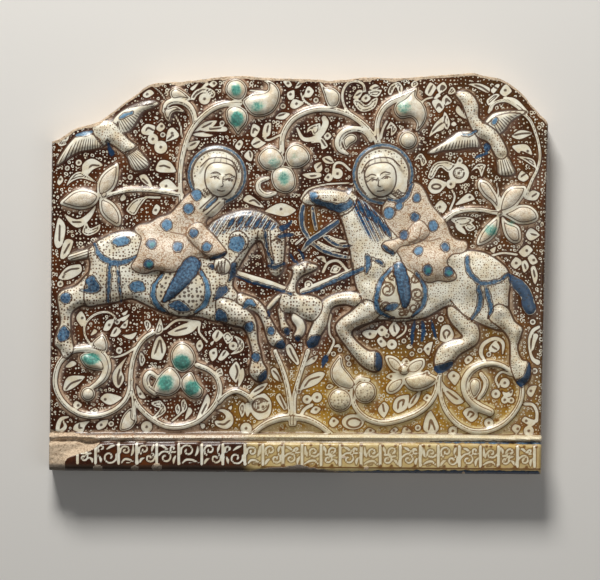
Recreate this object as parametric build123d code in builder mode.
"""Moulded frieze tile: a stonepaste slab with a foot border and a raised hunting scene.

The tile lies on its back, face up. X runs along the frieze, Y up the wall, Z out of the face.
The origin is the middle of the back face. Lengths are in millimetres.
"""

import os
from math import acos, cos, radians, sin, sqrt, tan

from build123d import *

# Slab
tile_width = 348.0
tile_height = 282.0
field_thickness = 20.0
right_edge_lean = 0.85
edge_round = 2.5
break_lean = 0.12

# Foot border, measured up from the bottom edge
lower_round = 5.0
band_width = 17.5
band_rise = 6.0
groove_width = 2.5
groove_rise = 2.5
rib_width = 4.5
rib_rise = 5.5

# Chipped corner of the foot border
chip_radius = 40.0
chip_depth = 7.5
chip_place = (66, 445)

# Setting-out sheet of the scene: squares counted right and down, laid over the face
sheet_square = 0.7
sheet_centre = (299.0, 271.0)
sheet_turn = 0.45

# Relief: half widths and rises in the lists below are counted in relief_step
relief_step = 1.0
stem_width = 4.2
stem_rise = 3.0
halo_radius = 20.5
halo_rise = 1.6
seat = 1.5
draft = 30.0


def at(column, row):
    """Place on the face of a point of the setting-out sheet."""
    turn = radians(sheet_turn)
    across = column - sheet_centre[0]
    down = row - sheet_centre[1]
    return (
        sheet_square * (across * cos(turn) + down * sin(turn)),
        sheet_square * (across * sin(turn) - down * cos(turn)),
    )


def crown(half_width, rise):
    """Radius of a round back that is half_width wide at the ground and rise high."""
    return relief_step * (half_width**2 + rise**2) / (2 * rise)


def axis_plane(tail, head):
    """Upright plane through a line, with its X along the line."""
    along = head - tail
    return Plane(origin=tail, x_dir=along, z_dir=along.cross(Vector(0, 0, 1)))


def limb(start, end, half_widths, rises):
    """Rounded swelling from start to end: a tapered capsule let into the ground."""
    radii = [crown(half, rise) for half, rise in zip(half_widths, rises)]
    tail, head = [
        Vector(*at(*place), field_thickness + rise * relief_step - radius)
        for place, rise, radius in zip((start, end), rises, radii)
    ]
    length = (head - tail).length
    slope = acos((radii[0] - radii[1]) / length)

    def rim(centre, radius, angle):
        return centre + radius * cos(angle), radius * sin(angle)

    plane = axis_plane(tail, head)
    with BuildPart() as swelling:
        with BuildSketch(plane):
            with BuildLine():
                tail_arc = ThreePointArc(
                    (-radii[0], 0),
                    rim(0, radii[0], (radians(180) + slope) / 2),
                    rim(0, radii[0], slope),
                )
                head_arc = ThreePointArc(
                    rim(length, radii[1], slope),
                    rim(length, radii[1], slope / 2),
                    (length + radii[1], 0),
                )
                Line(tail_arc @ 1, head_arc @ 0)
                Line(head_arc @ 1, tail_arc @ 0)
            make_face()
        revolve(axis=Axis(tail, head - tail))
    return swelling.part


def boss(place, half_width, rise):
    """Round swelling, such as a berry or a head."""
    radius = crown(half_width, rise)
    with BuildPart() as swelling:
        with Locations((*at(*place), field_thickness + rise * relief_step - radius)):
            Sphere(radius, rotation=(90, 0, 0))
    return swelling.part


def bar(start, end, half_widths, rise):
    """Low raised bar with drafted sides and round ends, such as a shin or a wing."""
    with BuildPart() as raised:
        for level in (-seat, rise * relief_step):
            with BuildSketch(Plane.XY.offset(field_thickness + level)):
                for place, half in zip((start, end), half_widths):
                    with Locations(at(*place)):
                        Circle(half * relief_step - level * tan(radians(draft)))
                make_hull()
        loft(ruled=True)
    return raised.part


def petal(root, tip, half_width, rise):
    """Pointed leaf with a keel: a lens on edge, turned about its cross axis and let into the ground."""
    tail, head = Vector(*at(*root), field_thickness), Vector(*at(*tip), field_thickness)
    half_length = (head - tail).length / 2
    half_width *= relief_step
    rise *= relief_step
    offset = (half_length**2 / half_width - half_width) / 2
    depth = (half_length**2 - rise**2) / (2 * rise)
    radius = sqrt((offset + half_width) ** 2 + depth**2)
    across = Vector(0, 0, 1).cross(head - tail)
    centre = (tail + head) / 2 - Vector(0, 0, depth)
    with BuildPart() as leaf:
        with BuildSketch(Plane(centre, x_dir=across, z_dir=head - tail)):
            with BuildLine():
                keel = (0, depth + rise)
                RadiusArc((offset - radius, 0), keel, radius)
                RadiusArc(keel, (radius - offset, 0), radius)
                Line((radius - offset, 0), (offset - radius, 0))
            make_face()
        revolve(axis=Axis(centre, across))
    return leaf.part


def stem(*places, width=stem_width, rise=stem_rise):
    """Raised stem with drafted sides through the given places, bent in tangent arcs."""
    route = [Vector(*at(*place), field_thickness) for place in places]
    with BuildPart() as vine:
        with BuildLine() as path:
            arc = ThreePointArc(*route[:3])
            for place in route[3:]:
                arc = TangentArc(arc @ 1, place, tangent=arc % 1)
        heading = path.line % 0
        section = Plane(route[0], x_dir=Vector(0, 0, 1).cross(heading), z_dir=heading)
        with BuildSketch(section):
            with BuildLine():
                crest = width / 4
                foot = width / 2 + seat * (width / 2 - crest) / rise
                Polyline((-foot, -seat), (-crest, rise), (crest, rise), (foot, -seat), close=True)
            make_face()
        sweep(path=path.line)
    return vine.part


def halo(place):
    """Flat disc behind a rider's head."""
    with BuildPart() as disc:
        with Locations((*at(*place), field_thickness - seat)):
            Cylinder(halo_radius, halo_rise + seat, align=(Align.CENTER, Align.CENTER, Align.MIN))
    return disc.part


left_horse = [
    limb((98, 268), (203, 282), (22, 20), (8, 9)),
    limb((216, 266), (258, 229), (16, 10), (8, 7)),
    limb((271, 229), (276, 261), (8.5, 6), (7, 5)),
    limb((226, 303), (249, 319), (10, 6.5), (6.5, 5)),
    limb((90, 284), (67, 297), (12, 7), (7, 5)),
    bar((278, 230), (292, 222), (4, 2.4), 3),
    bar((251, 322), (260, 374), (5.4, 5), 4.4),
    bar((238, 296), (263, 312), (8, 5.4), 4.8),
    bar((266, 316), (279, 344), (4.8, 4.4), 4),
    bar((64, 303), (65, 356), (5.6, 5.2), 4.4),
    bar((94, 249), (72, 254), (4.4, 3.6), 3),
]

right_horse = [
    limb((376, 286), (482, 271), (20, 21), (9, 8)),
    limb((372, 270), (352, 217), (16, 9.5), (8, 7)),
    limb((344, 203), (312, 198), (9, 5), (7, 4.6)),
    limb((366, 306), (343, 325), (11.5, 7.5), (7, 5.6)),
    limb((490, 296), (514, 325), (14, 7), (7, 5)),
    limb((460, 304), (473, 333), (10.5, 6.4), (6.6, 5.2)),
    bar((345, 330), (377, 361), (6.6, 5.6), 4.8),
    bar((353, 297), (326, 303), (8.2, 6), 4.8),
    bar((324, 308), (313, 341), (5.6, 4.8), 4.2),
    bar((515, 330), (513, 370), (5.4, 4.8), 4.4),
    bar((514, 372), (526, 373), (5, 4.4), 3.6),
    bar((471, 339), (443, 361), (6.2, 5.4), 4.6),
    bar((509, 274), (528, 309), (4.2, 5), 3.2),
]

left_rider = [
    halo((217, 176)),
    boss((219, 177), 14.5, 7),
    limb((196, 212), (163, 248), (13.5, 20), (9, 10.5)),
    limb((196, 238), (220, 256), (6.4, 4.4), (10.6, 8.4)),
    limb((190, 268), (169, 296), (6.6, 6), (11, 9.4)),
    boss((179, 291), 18.5, 9.4),
    bar((160, 240), (140, 229), (11, 6.5), 4.5),
]

right_rider = [
    halo((383, 174)),
    boss((382, 178), 14.5, 7),
    limb((408, 212), (433, 249), (13.5, 20), (9, 10.5)),
    limb((411, 232), (390, 247), (6.6, 5), (10.6, 9.4)),
    limb((399, 265), (406, 305), (6.4, 6), (11, 9.8)),
    boss((402, 292), 18.5, 9.6),
    bar((437, 242), (458, 243), (11, 6.5), 4.5),
]

quarry = [
    limb((290, 303), (314, 306), (8.5, 9), (5.4, 6)),
    bar((291, 292), (302, 270), (5.4, 4.4), 4),
    bar((305, 266), (290, 267), (4.2, 3), 3.4),
]

left_bird = [
    limb((104, 127), (123, 145), (7.5, 6), (4.6, 4.2)),
    bar((128, 151), (142, 163), (5, 7.5), 2.6),
    bar((95, 136), (62, 161), (7, 3), 2.6),
    bar((114, 118), (157, 104), (7, 3), 2.6),
]

right_bird = [
    limb((484, 130), (501, 149), (7.5, 6), (4.6, 4.2)),
    bar((465, 99), (475, 122), (4.8, 5), 3.8),
    bar((504, 157), (509, 172), (5, 7), 2.6),
    bar((471, 137), (431, 154), (7, 3), 2.6),
    bar((494, 122), (527, 111), (7, 3), 2.6),
]

upper_vines = [
    stem((182, 192), (180, 170), (186, 142), (205, 114), (232, 103)),
    stem((190, 126), (191, 108), (178, 99), (167, 108)),
    boss((236, 90), 7.8, 4.6),
    limb((236, 112), (237, 122), (8, 5), (4.8, 3.6)),
    limb((253, 102), (264, 104), (7.5, 8), (4.4, 4.4)),
    stem((268, 106), (276, 96), (270, 83), width=4.6),
    stem((283, 150), (288, 125), (318, 109), (352, 117), (375, 143)),
    boss((271, 159), 10.5, 5.4),
    boss((297, 157), 10, 5.2),
    limb((284, 175), (286, 184), (9.5, 9), (5, 4.6)),
    stem((378, 142), (379, 114), (400, 98), (411, 92)),
    limb((404, 106), (415, 112), (10, 8.5), (4.8, 4.4)),
    boss((408, 140), 6.6, 4.4),
    bar((331, 88), (333, 101), (6, 5.4), 3.6),
]

left_palmette = [
    stem((180, 193), (150, 190), (112, 194), width=3.8),
    petal((103, 194), (113, 164), 7, 4),
    petal((99, 196), (61, 201), 6.4, 4),
    petal((101, 198), (119, 227), 7.4, 4),
]

right_palmette = [
    stem((446, 219), (468, 211), (494, 212), width=3.8),
    petal((498, 211), (477, 180), 6.4, 4),
    petal((499, 212), (524, 186), 7, 4),
    bar((510, 215), (529, 213), (5.4, 6.6), 4),
    petal((497, 215), (477, 244), 6.4, 4),
    bar((506, 223), (514, 235), (5.2, 5.4), 3.8),
    stem((524, 196), (538, 166), (536, 124), width=3),
]

lower_vines = [
    stem((152, 334), (136, 352), (131, 380), (127, 397), (95, 417), (57, 392), (64, 362)),
    stem((66, 360), (88, 351), (105, 369), (90, 387), width=5),
    boss((92, 361), 7, 4.4),
    boss((88, 394), 5.2, 3.8),
    stem((131, 384), (143, 412), (172, 427), (207, 414), (219, 388), (203, 370)),
    limb((182, 356), (183, 364), (8.4, 7.6), (5.4, 5)),
    limb((164, 378), (172, 385), (8, 8), (5, 5)),
    boss((195, 386), 9, 5),
    stem((219, 400), (236, 391), (248, 396)),
    stem((289, 412), (287, 385), (275, 351), width=3.6),
    stem((294, 412), (298, 375), (307, 350), width=3.6),
    stem((262, 428), (292, 414), (330, 428), width=6, rise=3.6),
    petal((343, 358), (352, 390), 7.6, 4.2),
    boss((340, 400), 8.2, 5.2),
    boss((364, 393), 9, 5.4),
    stem((352, 388), (358, 410), (382, 423), (424, 411), (438, 379)),
    boss((405, 369), 6, 4.2),
    bar((413, 383), (429, 377), (5.6, 4), 3.6),
    stem((440, 378), (448, 413), (480, 431), (513, 417), (523, 386)),
    stem((516, 378), (492, 364), (466, 381), (478, 403), width=4.8),
    boss((473, 384), 7, 4.4),
    bar((481, 404), (495, 410), (5.2, 4.4), 3.4),
]

# The broken upper edge from left to right, from outside one side edge to outside the other
left_break_places = [
    (36, 147), (51, 140), (66, 133), (80, 126), (98, 121), (121, 104), (139, 91), (150, 83),
    (180, 80), (215, 76), (237, 75), (265, 77), (300, 78), (330, 80), (372, 76), (400, 77), (440, 74),
]
peak_column = 475
right_break_places = [(500, 77), (520, 90), (536, 108)]
right_break_row = 123
beyond_right_break = (562, 139)

relief = [
    *left_horse, *right_horse, *left_rider, *right_rider, *quarry, *left_bird, *right_bird,
    *upper_vines, *left_palmette, *right_palmette, *lower_vines,
]

left_x = -tile_width / 2
right_x = tile_width / 2
bottom_y = -tile_height / 2
top_y = tile_height / 2
right_break_y = at(2 * sheet_centre[0], right_break_row)[1]
lean_across = tan(radians(right_edge_lean))
spare = field_thickness
clear_height = 2 * field_thickness

with BuildSketch() as blank:
    with BuildLine():
        Polyline(
            (left_x, bottom_y),
            (right_x - lean_across * (right_break_y - bottom_y), bottom_y),
            (right_x + lean_across * (top_y + spare - right_break_y), top_y + spare),
            (left_x, top_y + spare),
            close=True,
        )
    make_face()

with BuildSketch() as lost:
    with BuildLine():
        Polyline(
            *[at(*place) for place in left_break_places],
            (at(peak_column, 0)[0], top_y),
            *[at(*place) for place in right_break_places],
            (right_x, right_break_y),
            at(*beyond_right_break),
            (at(*beyond_right_break)[0], top_y + 2 * spare),
            (at(*left_break_places[0])[0], top_y + 2 * spare),
            close=True,
        )
    make_face()

with BuildPart() as frieze_tile:
    # Plain slab, rounded along the two side edges of its face
    add(blank.sketch)
    extrude(amount=field_thickness)
    side_edges = frieze_tile.faces().sort_by(Axis.Z)[-1].edges().sort_by(Axis.X)
    fillet((side_edges[0], side_edges[-1]), radius=edge_round)

    # Foot border: a plain band with a rounded lower edge, a groove and a rib
    band_top = bottom_y + lower_round + band_width
    groove_top = band_top + groove_width
    rib_top = groove_top + rib_width
    band_level = field_thickness + band_rise
    groove_level = field_thickness + groove_rise
    with BuildSketch(Plane.YZ.offset(left_x)):
        with BuildLine():
            lower_edge = RadiusArc(
                (bottom_y, band_level - lower_round), (bottom_y + lower_round, band_level), lower_round
            )
            groove = Polyline(
                lower_edge @ 1, (band_top, band_level), (band_top, groove_level), (groove_top, groove_level)
            )
            rib = ThreePointArc(
                groove @ 1,
                (groove_top + rib_width / 2, field_thickness + rib_rise),
                (rib_top, field_thickness),
            )
            Polyline(rib @ 1, (rib_top, 0), (bottom_y, 0), lower_edge @ 0)
        make_face()
    extrude(amount=tile_width)

    # Raised scene, kept within the sides and the back of the slab
    add(relief)
    add(blank.sketch)
    extrude(amount=clear_height, mode=Mode.INTERSECT)

    # Broken upper edge, leaning back from the face
    add(lost.sketch)
    extrude(amount=clear_height, dir=(0, -break_lean, 1), both=True, mode=Mode.SUBTRACT)

    # Shallow shell-shaped chip out of the lower left corner
    chip_level = band_level + chip_radius - chip_depth
    with Locations((*at(*chip_place), chip_level)):
        Sphere(chip_radius, mode=Mode.SUBTRACT)

os.makedirs("parts", exist_ok=True)
frieze_tile.part.label = "frieze_tile"
export_step(frieze_tile.part, "parts/frieze_tile.step")
print("solids", len(frieze_tile.part.solids()), "volume", round(frieze_tile.part.volume))
print("size", frieze_tile.part.bounding_box().size)
